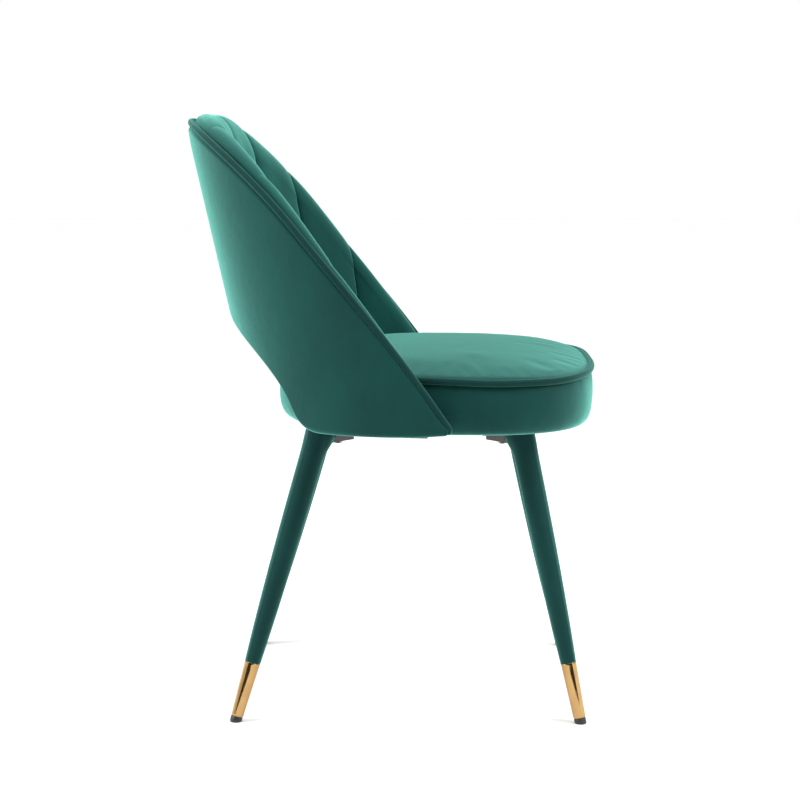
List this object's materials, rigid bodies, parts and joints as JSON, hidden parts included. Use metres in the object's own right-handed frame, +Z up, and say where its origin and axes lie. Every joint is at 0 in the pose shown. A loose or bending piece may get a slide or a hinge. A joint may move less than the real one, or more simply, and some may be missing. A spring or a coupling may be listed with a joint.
{
  "type": "dining chair",
  "caption": "Upholstered velvet dining chair with an open, channel-tufted shell back, a piped cushion seat and splayed fabric-covered legs with metal tips.",
  "frame": {"origin": "on the floor, under the middle of the chair's bounding box", "axes": "+Z up, the chair faces -Y, the sitter's left is +X"},
  "size_m": [0.5134, 0.5584, 0.8033],
  "materials": {
    "velvet": "soft short-pile polyester velvet, deep teal green",
    "velvet_piping": "the same velvet wrapped round a cord",
    "velvet_legs": "the same velvet stretched over the legs",
    "foam": "cut polyurethane foam",
    "plywood": "bare birch plywood",
    "grey_steel": "dark grey powder coat, satin",
    "zinc_steel": "zinc-plated fasteners",
    "brass": "polished gold-coloured plating",
    "black_plastic": "black moulded polyethylene",
    "dust_cloth": "black non-woven cloth"
  },
  "bodies": {
    "root": {"back_board": "plywood", "back_foam": "foam", "back_inner_cover": "velvet", "back_outer_cover": "velvet", "back_piping": "velvet_piping", "seat_board": "plywood", "seat_foam": "foam", "seat_top_cover": "velvet", "seat_band": "velvet", "seat_piping": "velvet_piping", "dust_cover": "dust_cloth", "tee_nuts": "zinc_steel", "cross_bar_long": "grey_steel", "cross_bar_left": "grey_steel", "cross_bar_right": "grey_steel", "frame_bolts": "zinc_steel", "leg_bolts": "zinc_steel", "wing_bracket_front_left": "grey_steel", "wing_bracket_front_right": "grey_steel", "wing_bracket_rear_left": "grey_steel", "wing_bracket_rear_right": "grey_steel", "bracket_bolts": "zinc_steel", "wing_screws": "zinc_steel", "leg_tube_front_left": "grey_steel", "leg_tube_front_right": "grey_steel", "leg_tube_rear_left": "grey_steel", "leg_tube_rear_right": "grey_steel", "leg_plate_front_left": "grey_steel", "leg_plate_front_right": "grey_steel", "leg_plate_rear_left": "grey_steel", "leg_plate_rear_right": "grey_steel", "leg_sleeve_front_left": "velvet_legs", "leg_sleeve_front_right": "velvet_legs", "leg_sleeve_rear_left": "velvet_legs", "leg_sleeve_rear_right": "velvet_legs", "ferrule_front_left": "brass", "ferrule_front_right": "brass", "ferrule_rear_left": "brass", "ferrule_rear_right": "brass", "glide_front_left": "black_plastic", "glide_front_right": "black_plastic", "glide_rear_left": "black_plastic", "glide_rear_right": "black_plastic"}
  },
  "joints": []
}
